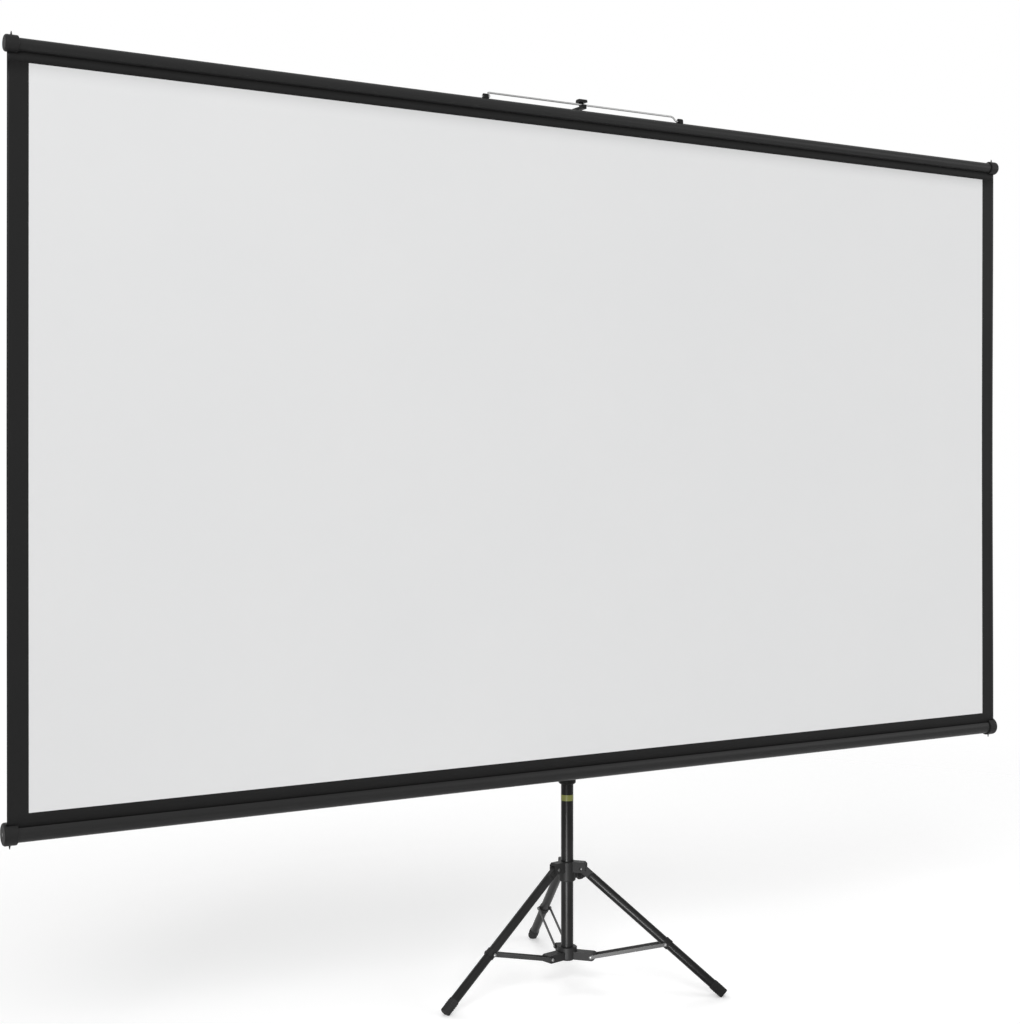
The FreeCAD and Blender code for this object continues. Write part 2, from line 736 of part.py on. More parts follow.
# A cup over one end of the case or of the top bar, slit where the fabric passes, with a small peg.
def end_cap(label, centre, half, hand, bar, slit, slit_foot, slit_up, peg_way):
    outward = RIGHT * hand
    corners = (
        ("0", "cap_wall"),
        (bar + " + cap_overhang", "cap_wall"),
        (bar + " + cap_overhang", "-cap_skirt"),
        (bar + " + seat_gap", "-cap_skirt"),
        (bar + " + seat_gap", "0"),
        ("0", "0"),
    )
    cup = turned(label, corners, turned_along(centre + outward * half, outward, UP))
    rims = [(bar + " + cap_overhang", "cap_wall"), (bar + " + cap_overhang", "-cap_skirt")]
    round_rims(cup, [rims[0]], "cap_round")
    round_rims(cup, [rims[1]], "foot_round")
    middle = FreeCAD.Vector(slit_foot) + outward * (half - at("cap_skirt") / 2)
    reach = bar + " + 2 * cap_overhang"
    mouth = block(slit, "cap_skirt", reach, frame(middle, slit_up.cross(outward) * -1, outward, slit_up))
    peg = doc.addObject("Part::Cone", "Peg")
    bind(peg, Radius1="peg_root / 2", Radius2="peg_tip / 2", Height="peg_height + cap_overhang / 2")
    root = centre + outward * (half + at("cap_wall - peg_inset"))
    peg.Placement = along(root + peg_way * at(bar + " + cap_overhang / 2"), peg_way)
    return cut(fuse(cup, peg), mouth)


for side, hand in (("left", -1), ("right", 1)):
    outward = RIGHT * hand
    cup = end_cap("case_cup_" + side, axis, half_case, hand, CASE_OUT, "case_slot", fabric_foot, UP, DOWN)
    hole = rod("roller_pin_diameter / 2 + seat_gap", "cap_wall", along(axis + outward * half_case, outward))
    keep("case_cap_" + side, cut(cup, hole))

# Roller with its plugs and fixed pins, and the turns of fabric left on it.
ROLLER_LONG = "%s + 2 * roller_overlength" % FABRIC_WIDE
ROLLER_IN = "roller_diameter / 2 - roller_wall"
half_roller = at(ROLLER_LONG) / 2
roller_at = along(axis + LEFT * half_roller, RIGHT)
keep("roller_tube", tube("roller_tube", "roller_diameter / 2", ROLLER_IN, ROLLER_LONG, roller_at))
half_fabric = at(FABRIC_WIDE) / 2
roll_at = along(axis + LEFT * half_fabric, RIGHT)
keep("fabric_roll", tube("fabric_roll", ROLL_OUT, "roller_diameter / 2 + seat_gap", FABRIC_WIDE, roll_at))
PIN_LONG = "cap_wall + case_overlength - roller_overlength + roller_pin_depth"
for side, hand in (("left", -1), ("right", 1)):
    outward = RIGHT * hand
    inside = axis + outward * (half_roller - at("roller_plug_depth"))
    name = "roller_plug_" + side
    hole = "roller_pin_diameter / 2 + running_gap"
    keep(name, tube(name, ROLLER_IN + " - seat_gap", hole, "roller_plug_depth", along(inside, outward)))
    inner = axis + outward * (half_roller - at("roller_pin_depth"))
    keep("roller_pin_" + side, rod("roller_pin_diameter / 2", PIN_LONG, along(inner, outward)))

# Top bar with a slot below it, the spline that holds the fabric in it and the fabric itself.
bar_axis = FreeCAD.Vector(0, -at(FABRIC_MID), at(BAR_MID))
bar_at = along(bar_axis + LEFT * half_case, RIGHT)
solid = rod("bar_diameter / 2", CASE_LONG, bar_at)
hollow = rod("bar_diameter / 2 - bar_wall", CASE_LONG, bar_at)
slit_at = frame(bar_axis, RIGHT, FRONT, DOWN)
slit = block(CASE_LONG, "bar_slot", "bar_diameter", slit_at)
keep("top_bar", cut(solid, hollow, slit))
SPLINE_DROP = "bar_diameter / 2 - bar_wall - seat_gap - spline_diameter / 2"
spline_at = along(bar_axis + LEFT * half_fabric + DOWN * at(SPLINE_DROP), RIGHT)
keep("fabric_spline", rod("spline_diameter / 2", FABRIC_WIDE, spline_at))
for side, hand in (("left", -1), ("right", 1)):
    name = "bar_cup_" + side
    cup = end_cap(name, bar_axis, half_case, hand, "bar_diameter / 2", "cap_slot", bar_axis, DOWN, UP)
    keep("top_bar_cap_" + side, cup)
FABRIC_TALL = "%s + bar_wall + seat_gap - slide_gap - (%s)" % (BAR_LOW, CASE_MID)
sheet_at = FreeCAD.Placement(fabric_foot, FreeCAD.Rotation())
keep("screen_fabric", block(FABRIC_WIDE, "fabric_thickness", FABRIC_TALL, sheet_at))

# Bail: a wire loop that turns in two ears on the top bar and leans back into the hook.
pivot = bar_axis + UP * at("bar_diameter / 2 + bail_rise")
lean = math.radians(at("bail_lean"))
rise = BACK * math.sin(lean) + UP * math.cos(lean)
span = at("bail_span") / 2
reach = at("bail_reach")
tail = span + at("bail_pin_end")
bend = at("bail_bend")
slant = bend / math.sqrt(2)


def spot(across, out):
    return pivot + RIGHT * across + rise * out


near_slant = bend - slant
far_slant = reach - bend + slant
foot_left = Part.Arc(spot(-span - bend, 0), spot(-span - near_slant, near_slant), spot(-span, bend))
side = reach - bend
head_left = Part.Arc(spot(-span, side), spot(-span + near_slant, far_slant), spot(-span + bend, reach))
head_right = Part.Arc(spot(span - bend, reach), spot(span - near_slant, far_slant), spot(span, side))
foot_right = Part.Arc(spot(span, bend), spot(span + near_slant, near_slant), spot(span + bend, 0))
runs = (
    Part.LineSegment(spot(-tail, 0), spot(-span - bend, 0)),
    foot_left,
    Part.LineSegment(spot(-span, bend), spot(-span, reach - bend)),
    head_left,
    Part.LineSegment(spot(-span + bend, reach), spot(span - bend, reach)),
    head_right,
    Part.LineSegment(spot(span, reach - bend), spot(span, bend)),
    foot_right,
    Part.LineSegment(spot(span + bend, 0), spot(tail, 0)),
)
path = Part.Wire([run.toShape() for run in runs])
section = Part.Wire([Part.Circle(spot(-tail, 0), RIGHT, at("bail_wire / 2")).toShape()])
bail = doc.addObject("Part::Feature", "Bail")
bail.Shape = path.makePipeShell([section], True, False)
keep("bail", bail)

# Ears on the top bar, each bored for the end of the bail.
for side, hand in (("left", -1), ("right", 1)):
    middle = pivot + RIGHT * (hand * (span + at("bail_bend + ear_gap + ear_length / 2")))
    foot = middle - UP * at("bail_rise + bar_diameter / 2")
    tall = "bar_diameter / 2 + bail_rise"
    stem = block("ear_length", "ear_depth", tall, FreeCAD.Placement(foot, FreeCAD.Rotation()))
    bore_at = along(middle - RIGHT * at("ear_length / 2"), RIGHT)
    ear = fuse(stem, rod("ear_depth / 2", "ear_length", bore_at))
    seat_at = along(foot - RIGHT * at("ear_length / 2"), RIGHT)
    seat_bore = rod("bar_diameter / 2 + seat_gap", "ear_length", seat_at)
    bore = rod("bail_wire / 2 + running_gap", "ear_length", bore_at)
    keep("bail_ear_" + side, cut(ear, seat_bore, bore))

# Hook on the extension tube: a cap with an arm, a keeper in front of the bail and a headed peg behind it.
LIP = WIRE_Y + " + bail_wire / 2 + hook_lip_gap"
NECK = WIRE_Y + " - bail_wire / 2 - hook_neck_gap"
HEAD_LOW = WIRE_Z + " + bail_wire / 2 + hook_head_gap"
HEAD_SLOPE = "hook_head_height * (1 - hook_head_side_share)"
arm_profile = (
    ("mast_offset", SEAT + " - hook_arm"),
    (LIP, SEAT + " - hook_arm"),
    (LIP, SEAT),
    ("mast_offset", SEAT),
)
keeper_profile = (
    (LIP + " + seat_gap", SEAT + " - hook_arm"),
    (LIP + " + hook_lip", SEAT + " - hook_arm"),
    (LIP + " + hook_lip", SEAT + " + hook_lip_rise - hook_lip / 2"),
    (LIP + " + hook_lip / 2", SEAT + " + hook_lip_rise"),
    (LIP + " + seat_gap", SEAT + " + hook_lip_rise"),
)
neck_profile = (
    (NECK, SEAT + " - hook_peg_depth"),
    (NECK, HEAD_LOW + " + hook_head_height / 2"),
    (NECK + " - hook_neck", HEAD_LOW + " + hook_head_height / 2"),
    (NECK + " - hook_neck", SEAT + " - hook_peg_depth"),
)
head_profile = (
    (WIRE_Y + " + hook_head_front", HEAD_LOW),
    (WIRE_Y + " + hook_head_front", HEAD_LOW + " + hook_head_height * hook_head_side_share"),
    (WIRE_Y + " + hook_head_front - " + HEAD_SLOPE, HEAD_LOW + " + hook_head_height"),
    (NECK + " - hook_neck - hook_head_front + " + HEAD_SLOPE, HEAD_LOW + " + hook_head_height"),
    (NECK + " - hook_neck - hook_head_front", HEAD_LOW + " + hook_head_height * hook_head_side_share"),
    (NECK + " - hook_neck - hook_head_front", HEAD_LOW),
)


# A plate across the hook, drawn in the side view of the screen.
def hook_plate(label, profile, width):
    return plate(label, profile, width, frame(RIGHT * (at(width) / 2), FRONT, UP, LEFT))


arm = hook_plate("hook_arm", arm_profile, "hook_width")
neck = hook_plate("hook_neck", neck_profile, "hook_peg_width")
head = hook_plate("hook_head", head_profile, "hook_head_width")
cap_foot = mast + UP * at(UPPER_TOP + " - hook_socket")
cap = bevelled_rod("hook_cap_diameter / 2", "hook_socket + hook_crown", "hook_cap_bevel", cap_foot, UP)
socket = rod(UPPER_OUT + " + seat_gap", "hook_socket", along(cap_foot, UP))
peg_foot = FreeCAD.Vector(0, -at(NECK + " - hook_neck / 2"), at(SEAT + " - hook_peg_depth - seat_gap"))
peg_hole = block(
    "hook_peg_width + 2 * seat_gap",
    "hook_neck + 2 * seat_gap",
    "hook_peg_depth + seat_gap",
    FreeCAD.Placement(peg_foot, FreeCAD.Rotation()),
)
keep("hook", cut(fuse(cap, arm), socket, peg_hole))
keep("hook_keeper", hook_plate("hook_keeper", keeper_profile, "hook_width"))
keep("hook_peg", fuse(neck, head))

# Bracket on the centre tube, with a saddle that holds the back of the case, and its two screws.
ring_at = upright(BRACKET_LOW)
ring_foot = mast + UP * at(BRACKET_LOW)
ring = bevelled_rod("bracket_diameter / 2", "bracket_height", "bracket_bevel", ring_foot, UP)
SADDLE_BACK = "mast_offset + case_offset - case_diameter / 2 - saddle_thickness / 2"
SADDLE_LOW = CASE_MID + " - saddle_drop"
saddle_foot = FreeCAD.Vector(0, -at(SADDLE_BACK), 0)
SADDLE_TOP = BRACKET_LOW + " + bracket_height"
corners = (
    ("-saddle_length / 2", SADDLE_LOW),
    ("saddle_length / 2", SADDLE_LOW),
    ("saddle_length / 2", SADDLE_TOP + " - saddle_bevel"),
    ("saddle_length / 2 - saddle_bevel", SADDLE_TOP),
    ("saddle_bevel - saddle_length / 2", SADDLE_TOP),
    ("-saddle_length / 2", SADDLE_TOP + " - saddle_bevel"),
)
saddle = plate("saddle", corners, "saddle_thickness", frame(saddle_foot, RIGHT, UP, FRONT))
arm_long = "%s - mast_offset" % SADDLE_BACK
arm_foot = mast + FRONT * (at(arm_long) / 2) + UP * at(BRACKET_LOW)
arm = block("saddle_arm", arm_long, "bracket_height", FreeCAD.Placement(arm_foot, FreeCAD.Rotation()))
seat_at = along(axis - RIGHT * at("saddle_length / 2"), RIGHT)
seat_bore = rod("case_diameter / 2 + seat_gap", "saddle_length", seat_at)
tube_bore = rod(CENTRE_OUT + " + seat_gap", "bracket_height", ring_at)
screw_holes = []
screws = []
for hand in (1, -1):
    middle = RIGHT * (hand * at("saddle_screw_spread / 2")) + UP * at(CASE_MID)
    outer = middle + FRONT * at(SADDLE_BACK)
    screw_holes.append(rod("screw_diameter / 2 + seat_gap", "saddle_thickness", along(outer, FRONT)))
    shank = rod("screw_diameter / 2", "saddle_screw_depth", along(outer, FRONT))
    screws.append(fuse(shank, rod("screw_head_diameter / 2", "screw_head_height", along(outer, BACK))))
keep("case_bracket", cut(fuse(ring, arm, saddle), seat_bore, tube_bore, *screw_holes))
keep("bracket_screws", together(*screws))

doc.recompute()
faults = []
for item in doc.Objects:
    if "Invalid" in item.State or "Error" in item.State:
        faults.append("%s (%s): %s" % (item.Name, item.Label, item.State))
for label, item in nodes.items():
    if item.Shape.isNull() or not item.Shape.isValid():
        faults.append("%s has no valid shape" % label)
if faults:
    raise RuntimeError("; ".join(faults))

os.makedirs("parts", exist_ok=True)
for label, item in nodes.items():
    item.Shape.exportStep("parts/%s.step" % label)
    print("%-22s %2d solids %12.1f mm3" % (label, len(item.Shape.Solids), item.Shape.Volume))
print(len(nodes), "nodes")
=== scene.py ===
import json
import math

import bmesh
import bpy
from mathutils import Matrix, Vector


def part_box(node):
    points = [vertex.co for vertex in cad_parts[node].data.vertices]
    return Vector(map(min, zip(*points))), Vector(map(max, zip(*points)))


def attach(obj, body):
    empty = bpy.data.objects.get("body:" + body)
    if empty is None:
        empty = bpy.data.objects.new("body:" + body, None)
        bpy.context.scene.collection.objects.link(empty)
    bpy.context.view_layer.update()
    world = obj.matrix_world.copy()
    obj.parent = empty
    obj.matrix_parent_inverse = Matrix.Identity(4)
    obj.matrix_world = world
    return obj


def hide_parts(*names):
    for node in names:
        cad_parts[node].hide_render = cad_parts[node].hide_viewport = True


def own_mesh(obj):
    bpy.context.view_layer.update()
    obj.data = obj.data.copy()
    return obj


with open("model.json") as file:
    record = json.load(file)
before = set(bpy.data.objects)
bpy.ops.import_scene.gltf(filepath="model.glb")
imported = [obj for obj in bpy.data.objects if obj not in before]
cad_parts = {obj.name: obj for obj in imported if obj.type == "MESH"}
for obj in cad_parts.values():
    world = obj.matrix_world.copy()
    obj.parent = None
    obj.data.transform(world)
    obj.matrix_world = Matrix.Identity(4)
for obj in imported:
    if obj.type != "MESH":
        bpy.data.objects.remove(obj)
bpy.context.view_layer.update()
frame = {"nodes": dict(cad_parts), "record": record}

# Sizes in metres and turns in degrees, in the model's own frame: the screen faces -Y, its width is along X.
MAST = Vector((0.0, -0.029, 0.0))
UP = Vector((0.0, 0.0, 1.0))

SHEET_HALF_WIDTH = 1.143
EDGE_TAPE_WIDTH = 0.004
VIEW_HALF_WIDTH = 1.107
SHEET_FOOT = 0.437
VIEW_FOOT = 0.4705
VIEW_TOP = 1.7155
SHEET_TOP = 1.7347
SHEET_PLANE = -0.0985
SHEET_THICKNESS = 0.0005
SHEET_COLUMNS = 56
SHEET_ROWS = 36
EDGE_CURL = 0.0022
EDGE_CURL_POWER = 10

ROLL_AXIS_Y = -0.089
ROLL_AXIS_Z = 0.437
ROLL_INNER = 0.00812
ROLL_OUTER = 0.00872
ROLL_TURNS = 1.75
ROLL_SEGMENTS = 84
ROLL_THICKNESS = 0.0003

LEG_COUNT = 3
LEG_AZIMUTH = -49.0
LEG_ANGLE = 52.0
LEG_PIVOT_RADIUS = 0.032
LEG_PIVOT_HEIGHT = 0.232
CLIP_POSITION = 0.222
FORK_HEAD_OUT = 0.0113
STRIP_HEAD_OUT = 0.0155
HUB_HEAD_OUT = 0.0158
HUB_PIVOT_RADIUS = 0.053
HUB_PIVOT_HEIGHT = 0.056
DOME_RADIUS = 0.0019
DOME_RISE = 0.0005
DOME_SEGMENTS = 24
DOME_RINGS = 12

FOOT_RADIUS = 0.010
FOOT_FLAT = 0.003
FOOT_RING_PLACES = (0.014, 0.019, 0.024)
FOOT_RING_BEAD = 0.0006
FOOT_RING_SEGMENTS = 48
FOOT_BEAD_SEGMENTS = 10

COLLAR_KNOB_AZIMUTH = 11.0
COLLAR_KNOB_HEIGHT = 0.214
CLAMP_KNOB_AZIMUTH = 90.0
HEIGHT_KNOB_HEIGHT = 0.435
EXTENSION_KNOB_HEIGHT = 0.949
KNOB_START = 0.030
KNOB_RADIUS = 0.012
KNOB_LENGTH = 0.013
KNOB_LOBES = 6
KNOB_RIB_TURNS = (-10.0, -5.0, 0.0, 5.0, 10.0)
KNOB_RIB_RADIUS = 0.00055
KNOB_RIB_LENGTH = 0.0094
KNOB_RIB_SIDES = 10
KNOB_BOSS_RADIUS = 0.0075
KNOB_BOSS_RISE = 0.0012

# Scales and details of the noise in the finishes.
TONE_SCALE = 9.0
TONE_DETAIL = 6.0
FLECK_SCALE = 70.0
FLECK_DETAIL = 8.0
FLECK_ROUGHNESS = 0.62
FLECK_EDGE = 0.10
GRAIN_DETAIL = 3.0
CLOTH_TONE_SCALE = 3.0
CLOTH_TONE_DETAIL = 5.0
CLOTH_TONE_RANGE = (0.3, 1.3)
THREAD_SCALE = 240.0
THREAD_WAVER = 0.6
THREAD_DETAIL = 1.0
THREAD_DETAIL_SCALE = 0.4
THREAD_DEPTH = 0.0003

# How the tone runs: the same every way, or drawn out along one axis.
EVEN = (1.0, 1.0, 1.0)
ALONG_X = (0.12, 14.0, 14.0)
ALONG_Z = (14.0, 14.0, 0.12)

# Places of the cloth's finishes, and how many places on from a face its back and its rim have theirs.
BORDER_SLOT = 1
TAPE_SLOT = 2
CLOTH_BACK_STEP = 3
CLOTH_RIM_STEP = 1
WINDING_BACK_STEP = 1

FLOOR_RADIUS = 9.0
FLOOR_SEGMENTS = 96
FLOOR_COLOUR = (0.93, 0.93, 0.93, 1.0)
FLOOR_ROUGHNESS = 0.9
FLOOR_MIRROR = 0.1
FLOOR_LIFT = 0.22
FLOOR_FADE = (0.9, 3.4)
SKY_COLOUR = (1.0, 1.0, 1.0, 1.0)
SKY_LIGHT = 0.55
SKY_SEEN = 1.0

CAMERA_PLACE = (-1.852, -2.9065, 1.045)
CAMERA_TURN = (90.0, 0.0, -30.82)
CAMERA_LENS = 59.15
CAMERA_SHIFT = -0.044


# Materials.
def blank_material(name):
    material = bpy.data.materials.new(name)
    material.use_nodes = True
    tree = material.node_tree
    shader = tree.nodes["Principled BSDF"]
    return material, tree, shader


def add(tree, kind, links=(), **values):
    node = tree.nodes.new(kind)
    for key, value in values.items():
        setattr(node, key, value)
    for socket, source in links:
        if isinstance(source, bpy.types.NodeSocket):
            tree.links.new(source, node.inputs[socket])
        else:
            node.inputs[socket].default_value = source
    return node


def worked_out(tree, operation, first, second):
    return add(tree, "ShaderNodeMath", [(0, first), (1, second)], operation=operation).outputs[0]


def object_place(tree, scale=EVEN):
    place = add(tree, "ShaderNodeTexCoord")
    mapping = add(tree, "ShaderNodeMapping", [("Vector", place.outputs["Object"]), ("Scale", scale)])
    return mapping.outputs["Vector"]


def cloud(tree, place, scale, detail, roughness=0.55):
    noise = add(
        tree,
        "ShaderNodeTexNoise",
        [("Vector", place), ("Scale", scale), ("Detail", detail), ("Roughness", roughness)],
    )
    return noise.outputs["Fac"]


def span(tree, source, low, high, start=0.3, stop=0.7):
    ranged = add(
        tree,
        "ShaderNodeMapRange",
        [("Value", source), ("From Min", start), ("From Max", stop), ("To Min", low), ("To Max", high)],
    )
    return ranged.outputs["Result"]


# The colour mix has its sockets by number, because the node has several of one name.
def blended(tree, amount, first, second):
    mix = add(tree, "ShaderNodeMix", [(0, amount), (6, first), (7, second)], data_type="RGBA")
    return mix.outputs[2]


def grey(level):
    return (level, level, level, 1.0)


def relief(tree, shader, height, strength, depth):
    bump = add(tree, "ShaderNodeBump", [("Height", height), ("Strength", strength), ("Distance", depth)])
    tree.links.new(bump.outputs["Normal"], shader.inputs["Normal"])


# A finish with drifting tone, uneven gloss and a few worn flecks.
# Its surface grain is given as a scale, a strength and a depth.
def worked_finish(
    name, dark, light, gloss, grain, run=EVEN, metal=0.0, worn=None, worn_level=0.68, mirror=0.5
):
    material, tree, shader = blank_material(name)
    shader.inputs["Metallic"].default_value = metal
    shader.inputs["Specular IOR Level"].default_value = mirror
    along = object_place(tree, run)
    drift = cloud(tree, along, TONE_SCALE, TONE_DETAIL)
    colour = blended(tree, span(tree, drift, 0.0, 1.0), dark, light)
    if worn:
        flecks = cloud(tree, along, FLECK_SCALE, FLECK_DETAIL, FLECK_ROUGHNESS)
        share = span(tree, flecks, 0.0, 1.0, worn_level, worn_level + FLECK_EDGE)
        colour = blended(tree, share, colour, worn)
    tree.links.new(colour, shader.inputs["Base Color"])
    tree.links.new(span(tree, drift, gloss[0], gloss[1]), shader.inputs["Roughness"])
    grain_scale, grain_strength, grain_depth = grain
    height = cloud(tree, object_place(tree), grain_scale, GRAIN_DETAIL)
    relief(tree, shader, height, grain_strength, grain_depth)
    return material


# Woven cloth: crossing threads pressed into a coated face.
def woven_finish(name, dark, light, gloss, press, mirror=0.25):
    material, tree, shader = blank_material(name)
    place = object_place(tree)
    threads = []
    for way in ("X", "Z"):
        wave = add(
            tree,
            "ShaderNodeTexWave",
            [
                ("Vector", place),
                ("Scale", THREAD_SCALE),
                ("Distortion", THREAD_WAVER),
                ("Detail", THREAD_DETAIL),
                ("Detail Scale", THREAD_DETAIL_SCALE),
            ],
            bands_direction=way,
        )
        threads.append(wave.outputs["Fac"])
    weave = worked_out(tree, "MULTIPLY", threads[0], threads[1])
    drift = cloud(tree, place, CLOTH_TONE_SCALE, CLOTH_TONE_DETAIL)
    tone = span(tree, worked_out(tree, "ADD", drift, weave), 0.0, 1.0, *CLOTH_TONE_RANGE)
    tree.links.new(blended(tree, tone, dark, light), shader.inputs["Base Color"])
    tree.links.new(span(tree, drift, gloss[0], gloss[1]), shader.inputs["Roughness"])
    shader.inputs["Specular IOR Level"].default_value = mirror
    relief(tree, shader, weave, press, THREAD_DEPTH)
    return material


tube_paint = worked_finish(
    "tube_paint", dark=grey(0.004), light=grey(0.008), gloss=(0.31, 0.39),
    grain=(900.0, 0.08, 0.0004), worn=grey(0.03), worn_level=0.72, mirror=0.12,
)
slid_tube_paint = worked_finish(
    "slid_tube_paint", dark=grey(0.004), light=grey(0.009), gloss=(0.22, 0.36),
    grain=(900.0, 0.06, 0.0004), run=ALONG_Z, worn=grey(0.05), mirror=0.12,
)
drawn_case_paint = worked_finish(
    "drawn_case_paint", dark=grey(0.018), light=grey(0.025), gloss=(0.34, 0.44),
    grain=(1100.0, 0.08, 0.0003), run=ALONG_X, worn=grey(0.04), mirror=0.12,
)
moulded_black = worked_finish(
    "moulded_black", dark=grey(0.006), light=grey(0.011), gloss=(0.42, 0.56),
    grain=(1600.0, 0.16, 0.0004), worn=grey(0.03), mirror=0.1,
)
moulded_cap = worked_finish(
    "moulded_cap", dark=grey(0.009), light=grey(0.015), gloss=(0.52, 0.66),
    grain=(1500.0, 0.16, 0.0004), worn=grey(0.03), mirror=0.18,
)
foot_rubber = worked_finish(
    "foot_rubber", dark=grey(0.009), light=grey(0.016), gloss=(0.72, 0.90),
    grain=(800.0, 0.30, 0.0006), worn=(0.05, 0.046, 0.042, 1.0), mirror=0.2,
)
zinc_plate = worked_finish(
    "zinc_plate", dark=grey(0.30), light=grey(0.44), gloss=(0.28, 0.46),
    grain=(1400.0, 0.10, 0.0003), metal=1.0, worn=grey(0.20),
)
dark_steel = worked_finish(
    "dark_steel", dark=grey(0.05), light=grey(0.09), gloss=(0.30, 0.46),
    grain=(1400.0, 0.10, 0.0003), metal=1.0, worn=grey(0.16),
)
strut_steel = worked_finish(
    "strut_steel", dark=grey(0.04), light=grey(0.06), gloss=(0.48, 0.60),
    grain=(1400.0, 0.10, 0.0003), metal=1.0, worn=grey(0.16),
)
rivet_steel = worked_finish(
    "rivet_steel", dark=grey(0.14), light=grey(0.22), gloss=(0.38, 0.52),
    grain=(1400.0, 0.10, 0.0003), metal=1.0, worn=grey(0.10),
)
bail_steel = worked_finish(
    "bail_steel", dark=grey(0.32), light=grey(0.42), gloss=(0.24, 0.36),
    grain=(1400.0, 0.06, 0.0003), run=ALONG_X, metal=1.0, worn=grey(0.26),
)
roller_steel = worked_finish(
    "roller_steel", dark=grey(0.42), light=grey(0.55), gloss=(0.30, 0.44),
    grain=(1400.0, 0.08, 0.0003), run=ALONG_X, metal=1.0,
)
signal_band = worked_finish(
    "signal_band", dark=(0.105, 0.113, 0.018, 1.0), light=(0.145, 0.157, 0.024, 1.0), gloss=(0.34, 0.46),
    grain=(1200.0, 0.08, 0.0003),
)
pale_plastic = worked_finish(
    "pale_plastic", dark=grey(0.55), light=grey(0.64), gloss=(0.38, 0.50), grain=(1500.0, 0.12, 0.0003)
)
white_face = woven_finish(
    "white_face", dark=(0.76, 0.765, 0.77, 1.0), light=(0.80, 0.80, 0.80, 1.0), gloss=(0.78, 0.90), press=0.20
)
black_border = woven_finish(
    "black_border", dark=grey(0.010), light=grey(0.015), gloss=(0.62, 0.76), press=0.20, mirror=0.14
)
edge_tape = woven_finish("edge_tape", dark=grey(0.003), light=grey(0.006), gloss=(0.44, 0.56), press=0.20)
black_backing = woven_finish(
    "black_backing", dark=grey(0.020), light=grey(0.032), gloss=(0.66, 0.82), press=0.35
)

SLOT_FINISH = {
    "black_tube": tube_paint,
    "black_aluminium": drawn_case_paint,
    "black_plastic": moulded_black,
    "cap_plastic": moulded_cap,
    "black_rubber": foot_rubber,
    "zinc_steel": zinc_plate,
    "white_fabric": white_face,
    "bright_band": signal_band,
    "roller_metal": roller_steel,
    "white_plastic": pale_plastic,
}
NODE_FINISH = {
    "centre_tube": slid_tube_paint,
    "extension_tube": slid_tube_paint,
    "leg_pins": dark_steel,
    "roller_pin_left": dark_steel,
    "roller_pin_right": dark_steel,
    "spreader_pins": rivet_steel,
    "bail": bail_steel,
}
for number in range(1, LEG_COUNT + 1):
    NODE_FINISH["strut_%d" % number] = strut_steel
    NODE_FINISH["strut_rivets_%d" % number] = rivet_steel


def dress(piece, *finishes):
    if piece.data.materials:
        piece.data.materials.clear()
    for finish in finishes:
        piece.data.materials.append(finish)


for entry in frame["record"]["subparts"]:
    node_name = entry["node"]
    dress(frame["nodes"][node_name], NODE_FINISH.get(node_name, SLOT_FINISH[entry["material_slot"]]))


# Pieces.
def show(name, mesh):
    piece = bpy.data.objects.new(name, mesh)
    bpy.context.scene.collection.objects.link(piece)
    return piece


def show_shape(name, shape):
    mesh = bpy.data.meshes.new(name)
    shape.to_mesh(mesh)
    shape.free()
    return show(name, mesh)


# The piece with its modifiers worked into a plain mesh.
def settled(piece):
    graph = bpy.context.evaluated_depsgraph_get()
    mesh = bpy.data.meshes.new_from_object(piece.evaluated_get(graph))
    piece.modifiers.clear()
    old = piece.data
    piece.data = mesh
    bpy.data.meshes.remove(old)
    mesh.name = piece.name
    return piece


# The piece as cloth of even thickness. Back and rim take the finish so many places on from the face's.
def thickened(piece, thickness, back_step, rim_step=0):
    wall = piece.modifiers.new("cloth", "SOLIDIFY")
    wall.thickness = thickness
    wall.offset = 0.0
    wall.material_offset = back_step
    wall.material_offset_rim = rim_step
    return settled(piece)


def put(piece, body):
    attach(piece, body)
    return piece


def even_steps(low, high, count):
    return [low + (high - low) * step / count for step in range(count + 1)]


# How far the cloth stands back of its plane: its free side edges curl a little between the case and the bar.
def edge_curl(place, height):
    share = (height - SHEET_FOOT) / (SHEET_TOP - SHEET_FOOT)
    bow = math.sin(math.pi * share) ** 2
    return EDGE_CURL * bow * abs(place / SHEET_HALF_WIDTH) ** EDGE_CURL_POWER


# A stretch of the screen's cloth. Its lowest row is black all the way across, and its sides are taped.
def make_cloth(name, upward):
    tape = SHEET_HALF_WIDTH - EDGE_TAPE_WIDTH
    view = even_steps(-VIEW_HALF_WIDTH, VIEW_HALF_WIDTH, SHEET_COLUMNS)
    across = [-SHEET_HALF_WIDTH, -tape] + view + [tape, SHEET_HALF_WIDTH]
    last_column = len(across) - 2
    shape = bmesh.new()
    grid = []
    for height in upward:
        row = []
        for place in across:
            row.append(shape.verts.new((place, SHEET_PLANE + edge_curl(place, height), height)))
        grid.append(row)
    for level in range(len(upward) - 1):
        for column in range(len(across) - 1):
            corners = (
                grid[level][column],
                grid[level][column + 1],
                grid[level + 1][column + 1],
                grid[level + 1][column],
            )
            face = shape.faces.new(corners)
            if column in (0, last_column):
                face.material_index = TAPE_SLOT
            elif level == 0 or column in (1, last_column - 1):
                face.material_index = BORDER_SLOT
            face.smooth = True
    piece = show_shape(name, shape)
    dress(piece, white_face, black_border, edge_tape, black_backing)
    return thickened(piece, SHEET_THICKNESS, CLOTH_BACK_STEP, CLOTH_RIM_STEP)


